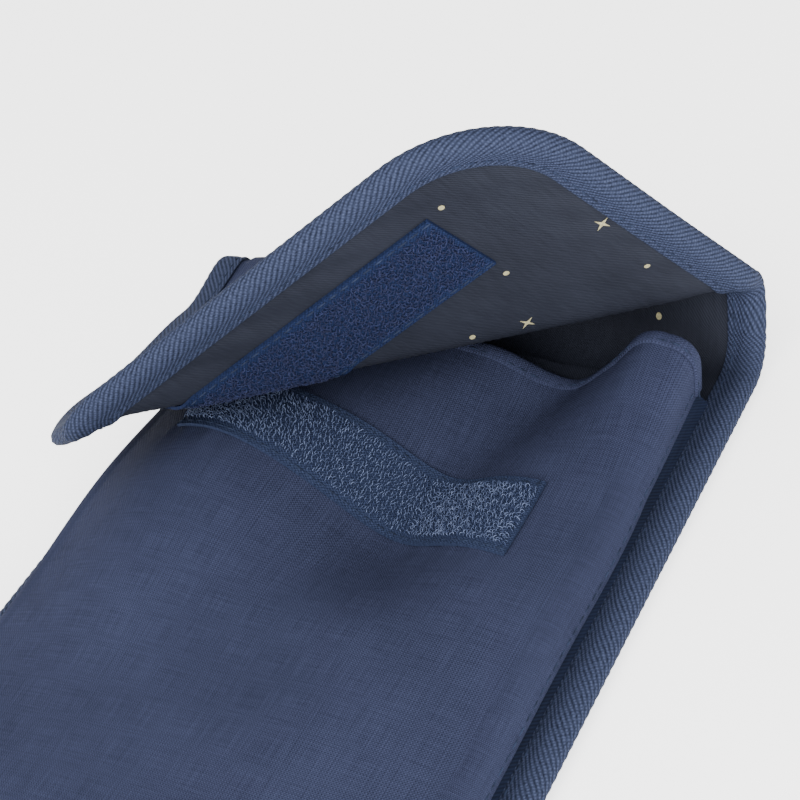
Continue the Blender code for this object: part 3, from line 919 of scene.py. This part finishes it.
reachLeft = pocket["left"] - pocket["round"] + skirt - 0.6 * mm
reachRight = pocket["right"] - pocket["round"] + skirt - 0.6 * mm
rings = [hemRing(x) for x in np.linspace(-reachLeft, reachRight, 180)]
hemRings, hemCloth = (np.array(part) for part in zip(*rings))
hem = addMesh("mouth_hem_detailed", *tubePart(hemRings, hemCloth, flip=True), oxford, sharp=60)
onBody(hem, "mouth_hem")
print("gussets, divider and hem made")


# hook and loop strips
loop = {
    "right": 38.5 * mm,
    "length": 80 * mm,
    "width": 20 * mm,
    "inset": 16 * mm,             # from the flap's free edge
    "selvedge": 1.8 * mm,
    "tape": 0.7 * mm,
}


def hookPlace(s, t, h):
    # s along the strip, t across it, both in metres
    x = hook["right"] - hook["length"] + s
    y = hookEdge(x) + t
    return onFront(x, y, pocket["cloth"] + 0.15 * mm + h)


def loopPlace(s, t, h):
    u = loop["right"] - loop["length"] + s
    v = sheet["flapLength"] - loop["inset"] - loop["width"] + t
    return onSheet(u, v, 2.75 * mm + h)


def stripTape(name, strip, place, finish):
    s = np.linspace(0, strip["length"], int(strip["length"] / mm) + 1)
    t = np.linspace(0, strip["width"], int(strip["width"] / mm) + 1)[:, None]
    s, t = np.broadcast_arrays(s, t)
    part = shellPart(place(s, t, 0.0), place(s, t, strip["tape"]), np.stack([t, s], -1))
    return addMesh(name, *part, finish)


hookBase = stripTape("hook_strip_tape", hook, hookPlace, hookTape)
onBody(hookBase, "hook_strip")
loopBase = stripTape("loop_strip_tape", loop, loopPlace, loopTape)
follow(loopBase, "flap")
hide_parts("loop_strip")


def newTree(name, floats, others):
    # a node tree with named inputs: the geometry, then lengths and angles, then the rest
    tree = bpy.data.node_groups.new(name, "GeometryNodeTree")
    inputs = [("Geometry", "Geometry"), *[(label, "Float") for label in floats], *others]
    for label, kind in inputs:
        tree.interface.new_socket(label, in_out="INPUT", socket_type=f"NodeSocket{kind}")
    tree.interface.new_socket("Geometry", in_out="OUTPUT", socket_type="NodeSocketGeometry")
    return tree, tree.nodes.new("NodeGroupInput")


def endTree(tree, start, instances):
    # instances made real, smoothed and given their finish
    real = addNode(tree, "GeometryNodeRealizeInstances", {"Geometry": instances})
    smoothed = addNode(tree, "GeometryNodeSetShadeSmooth", {"Geometry": real.outputs[0]})
    dressed = addNode(tree, "GeometryNodeSetMaterial",
                      {"Geometry": smoothed.outputs[0], "Material": start.outputs["finish"]})
    end = tree.nodes.new("NodeGroupOutput")
    tree.links.new(dressed.outputs[0], end.inputs["Geometry"])


def fibreTree():
    # small bent fibres standing on a cloth, evenly spread at random
    tree, start = newTree("fibres_on_cloth", ("spacing", "radius", "thickness", "sweep", "lean", "twist"),
                          [("seed", "Int"), ("finish", "Material")])
    get = start.outputs
    dense = maths(tree, "DIVIDE", 1.6, maths(tree, "MULTIPLY", get["spacing"], get["spacing"]))
    spread = addNode(tree, "GeometryNodeDistributePointsOnFaces",
                     {"Mesh": get["Geometry"], "Distance Min": get["spacing"], "Density Max": dense,
                      "Seed": get["seed"]}, distribute_method="POISSON")
    arc = addNode(tree, "GeometryNodeCurveArc",
                  {"Resolution": 6, "Radius": get["radius"], "Start Angle": math.radians(-15),
                   "Sweep Angle": get["sweep"]})
    ring = addNode(tree, "GeometryNodeCurvePrimitiveCircle", {"Resolution": 4, "Radius": get["thickness"]})
    fibre = addNode(tree, "GeometryNodeCurveToMesh",
                    {"Curve": arc.outputs["Curve"], "Profile Curve": ring.outputs["Curve"],
                     "Fill Caps": True})
    stand = addNode(tree, "GeometryNodeTransform",
                    {"Geometry": fibre.outputs[0], "Rotation": (math.pi / 2, 0, 0)})
    most = addNode(tree, "ShaderNodeCombineXYZ", {"X": get["lean"], "Y": get["lean"], "Z": get["twist"]})
    least = addNode(tree, "ShaderNodeVectorMath", {0: most.outputs[0], "Scale": -1.0}, operation="SCALE")
    chance = addNode(tree, "FunctionNodeRandomValue",
                     {0: least.outputs[0], 1: most.outputs[0], "Seed": get["seed"]},
                     data_type="FLOAT_VECTOR")
    euler = addNode(tree, "FunctionNodeEulerToRotation", {0: chance.outputs[0]})
    turned = addNode(tree, "FunctionNodeRotateRotation",
                     {0: spread.outputs["Rotation"], 1: euler.outputs[0]}, rotation_space="LOCAL")
    size = addNode(tree, "FunctionNodeRandomValue", {2: 0.75, 3: 1.2}, data_type="FLOAT")
    placed = addNode(tree, "GeometryNodeInstanceOnPoints",
                     {"Points": spread.outputs["Points"], "Instance": stand.outputs[0],
                      "Rotation": turned.outputs[0], "Scale": size.outputs[1]})
    endTree(tree, start, placed.outputs[0])
    return tree


def stitchTree():
    # sewing stitches laid end to end along a line, with a small gap between them
    tree, start = newTree("stitches_along_line", ("pitch", "stitch", "thread"), [("finish", "Material")])
    get = start.outputs
    line = addNode(tree, "GeometryNodeMeshToCurve", {"Mesh": get["Geometry"]})
    even = addNode(tree, "GeometryNodeResampleCurve", {"Curve": line.outputs[0], "Length": get["pitch"]},
                   mode="LENGTH")
    bead = addNode(tree, "GeometryNodeMeshUVSphere", {"Segments": 6, "Rings": 5, "Radius": 0.5})
    size = addNode(tree, "ShaderNodeCombineXYZ",
                   {"X": get["thread"], "Y": get["thread"], "Z": get["stitch"]})
    shaped = addNode(tree, "GeometryNodeTransform",
                     {"Geometry": bead.outputs["Mesh"], "Scale": size.outputs[0]})
    tangent = addNode(tree, "GeometryNodeInputTangent")
    turned = addNode(tree, "FunctionNodeAlignRotationToVector", {"Vector": tangent.outputs[0]}, axis="Z")
    placed = addNode(tree, "GeometryNodeInstanceOnPoints",
                     {"Points": even.outputs[0], "Instance": shaped.outputs[0],
                      "Rotation": turned.outputs[0]})
    endTree(tree, start, placed.outputs[0])
    return tree


def grown(name, carrier, tree, settings):
    # runs a node tree on a carrier mesh and keeps the result as a plain mesh piece
    modifier = carrier.modifiers.new(tree.name, "NODES")
    modifier.node_group = tree
    for item in tree.interface.items_tree:
        if item.in_out == "INPUT" and item.name in settings:
            modifier[item.identifier] = settings[item.name]
    bpy.context.view_layer.update()
    ready = carrier.evaluated_get(bpy.context.evaluated_depsgraph_get())
    mesh = bpy.data.meshes.new_from_object(ready)
    mesh.name = name
    piece = addObject(name, mesh)
    carrier.modifiers.clear()
    bpy.data.objects.remove(carrier)
    return piece


def addCarrier(points, edges, faces):
    mesh = bpy.data.meshes.new("carrier")
    mesh.from_pydata(points, edges, faces)
    return addObject("carrier", mesh)


def lineCarrier(lines):
    points, edges = [], []
    for line in lines:
        start = len(points)
        points += [tuple(p) for p in line]
        edges += [(i, i + 1) for i in range(start, len(points) - 1)]
    return addCarrier(points, edges, [])


fibres = fibreTree()
stitches = stitchTree()


def stripPatch(strip, place, h):
    # the part of a strip between its selvedges
    s = np.linspace(0.6 * mm, strip["length"] - 0.6 * mm, 60)
    t = np.linspace(strip["selvedge"], strip["width"] - strip["selvedge"], 16)[:, None]
    s, t = np.broadcast_arrays(s, t)
    _, quads = gridQuads(*s.shape)
    return addCarrier(place(s, t, h).reshape(-1, 3).tolist(), [], quads.tolist())


hooks = grown("hook_strip_hooks", stripPatch(hook, hookPlace, hook["tape"] + 0.25 * mm), fibres, {
    "spacing": 0.57 * mm, "radius": 0.4 * mm, "thickness": 0.08 * mm, "sweep": math.radians(215),
    "lean": 0.4, "twist": 0.6, "seed": 3, "finish": hookNylon})
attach(hooks, "root")
pile = grown("loop_strip_pile", stripPatch(loop, loopPlace, loop["tape"] + 0.05 * mm), fibres, {
    "spacing": 0.5 * mm, "radius": 0.42 * mm, "thickness": 0.11 * mm, "sweep": math.radians(210),
    "lean": 0.9, "twist": math.pi, "seed": 5, "finish": loopPile})
follow(pile, "flap")
print("hook and loop strips made:", len(hooks.data.polygons), len(pile.data.polygons))


# stitches
sewing = {
    "pitch": 2.9 * mm,
    "stitch": 2.3 * mm,
    "thread": 0.38 * mm,
    "inset": 1.5 * mm,            # from the tape's inner edge
    "stripInset": 1.1 * mm,       # from the hook strip's edges
}
sewn = {**{key: sewing[key] for key in ("pitch", "stitch", "thread")}, "finish": thread}


def bindingLine(fromS, toS, depth):
    places = [placeAlong(sheetEdge, s) for s in stations(fromS, toS, 1.0 * mm)]
    inset = bindingSize["width"] - sewing["inset"]
    u, v, nu, nv = np.array(places).T
    return onSheet(u + inset * nu, v + inset * nv, depth)


for span, ends in edgeSpans.items():
    lines = [bindingLine(a, b, depth) for a, b in ends for depth in (3.5 * mm, 0.2 * mm)]
    piece = grown(f"{span}_binding_stitches", lineCarrier(lines), stitches, sewn)
    follow(piece, span)


def lineAlong(strip, place, side, inset):
    run = np.linspace(0, 1, 80)
    return place(inset + (strip["length"] - 2 * inset) * run, side + 0 * run, strip["tape"] + 0.02 * mm)


def lineAcross(strip, place, side, inset):
    run = np.linspace(0, 1, 80)
    return place(side + 0 * run, inset + (strip["width"] - 2 * inset) * run, strip["tape"] + 0.02 * mm)


inset = sewing["stripInset"]
frontLines = [lineAlong(hook, hookPlace, side, inset) for side in (inset, hook["width"] - inset)]
frontLines += [lineAcross(hook, hookPlace, side, inset) for side in (inset, hook["length"] - inset)]
frontLines.append(onFront(np.linspace(-reachLeft, reachRight, 160),
                          pocket["mouth"] - pocket["hem"] + 0.9 * mm, pocket["cloth"] + 0.5 * mm))
seamY = np.linspace(-95 * mm, 104 * mm, 150)
frontLines += [onFront(edge * np.ones(150), seamY, pocket["cloth"] + 0.02 * mm)
               for edge in (reachRight - 1.6 * mm, -reachLeft + 1.6 * mm)]
frontStitches = grown("front_pocket_stitches", lineCarrier(frontLines), stitches, sewn)
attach(frontStitches, "root")
loopLines = [lineAlong(loop, loopPlace, side, inset) for side in (0.8 * mm, loop["width"] - 0.8 * mm)]
loopStitches = grown("loop_strip_stitches", lineCarrier(loopLines), stitches, sewn)
follow(loopStitches, "flap")
print("stitches made")


# print on the lining
printing = {
    "dot": 0.62 * mm,             # radius
    "star": 1.8 * mm,             # reach of the four-pointed mark
    "lift": 0.05 * mm,
    "cell": ((27.3 * mm, 10.9 * mm), (-10.9 * mm, 27.3 * mm)),
    "origin": (20 * mm, -6 * mm),
    "dotFromStar": (8 * mm, 13 * mm),
}
# places on the flap, in mm across and along
flapDots = ((42, 96), (37.5, 71.5), (21, 62), (55.5, 49.5), (3, 70), (-18, 62), (8, 45), (30, 33),
            (-8, 30), (-40, 40))
flapStars = ((57.5, 67), (30.4, 56), (-36, 97), (3, 55), (-25, 45), (10, 30), (-48, 62), (47, 31))


def onLining(u, v, h):
    return onSheet(u, v, 2.7 * mm + liningPucker(u, v) + h)


def disc(u, v, count=14):
    a, r = np.linspace(0, 2 * math.pi, count, endpoint=False), printing["dot"]
    return np.stack([u + r * np.cos(a), v + r * np.sin(a)], -1)


def star(u, v, lean=0.35):
    # a generic mark: two crossed slim diamonds
    a = np.arange(8) * math.pi / 4 + lean
    r = np.where(np.arange(8) % 2 == 0, printing["star"], 0.24 * printing["star"])
    return np.stack([u + r * np.cos(a), v + r * np.sin(a)], -1)


def printPart(outline):
    # a thin closed film of ink over the outline
    u, v = outline.T
    count = len(outline)
    top = onLining(u, v, printing["lift"] * 2)
    low = onLining(u, v, printing["lift"])
    points = np.concatenate([low, top, low.mean(0)[None], top.mean(0)[None]])
    i = np.arange(count)
    j = (i + 1) % count
    walls = [(a, b, b + count, a + count) for a, b in zip(i, j)]
    tops = [(a + count, b + count, 2 * count + 1) for a, b in zip(i, j)]
    lows = [(b, a, 2 * count) for a, b in zip(i, j)]
    return points, walls + tops + lows


def printed(name, outlines):
    points, faces, start = [], [], 0
    for outline in outlines:
        p, f = printPart(outline)
        points.append(p)
        faces += [tuple(int(k) + start for k in face) for face in f]
        start += len(p)
    mesh = bpy.data.meshes.new(name)
    mesh.from_pydata(np.concatenate(points).tolist(), [], faces)
    mesh.materials.append(ink)
    piece = addObject(name, mesh)
    return piece


outlines = [disc(u * mm, v * mm) for u, v in flapDots] + [star(u * mm, v * mm) for u, v in flapStars]
follow(printed("flap_lining_print", outlines), "flap")

(ax, ay), (bx, by) = printing["cell"]
(startU, startV), (dotU, dotV) = printing["origin"], printing["dotFromStar"]
outlines = [disc(44 * mm, 16 * mm)]         # one dot just inside the fold
for i in range(-8, 9):
    for j in range(-9, 3):
        u, v = startU + i * ax + j * bx, startV + i * ay + j * by
        if abs(u) < 55 * mm and -218 * mm < v < -6 * mm and rimDistance(u, v) > 11 * mm:
            outlines += [star(u, v), disc(u + dotU, v + dotV)]
follow(printed("back_lining_print", outlines), "back")
print("lining print made")
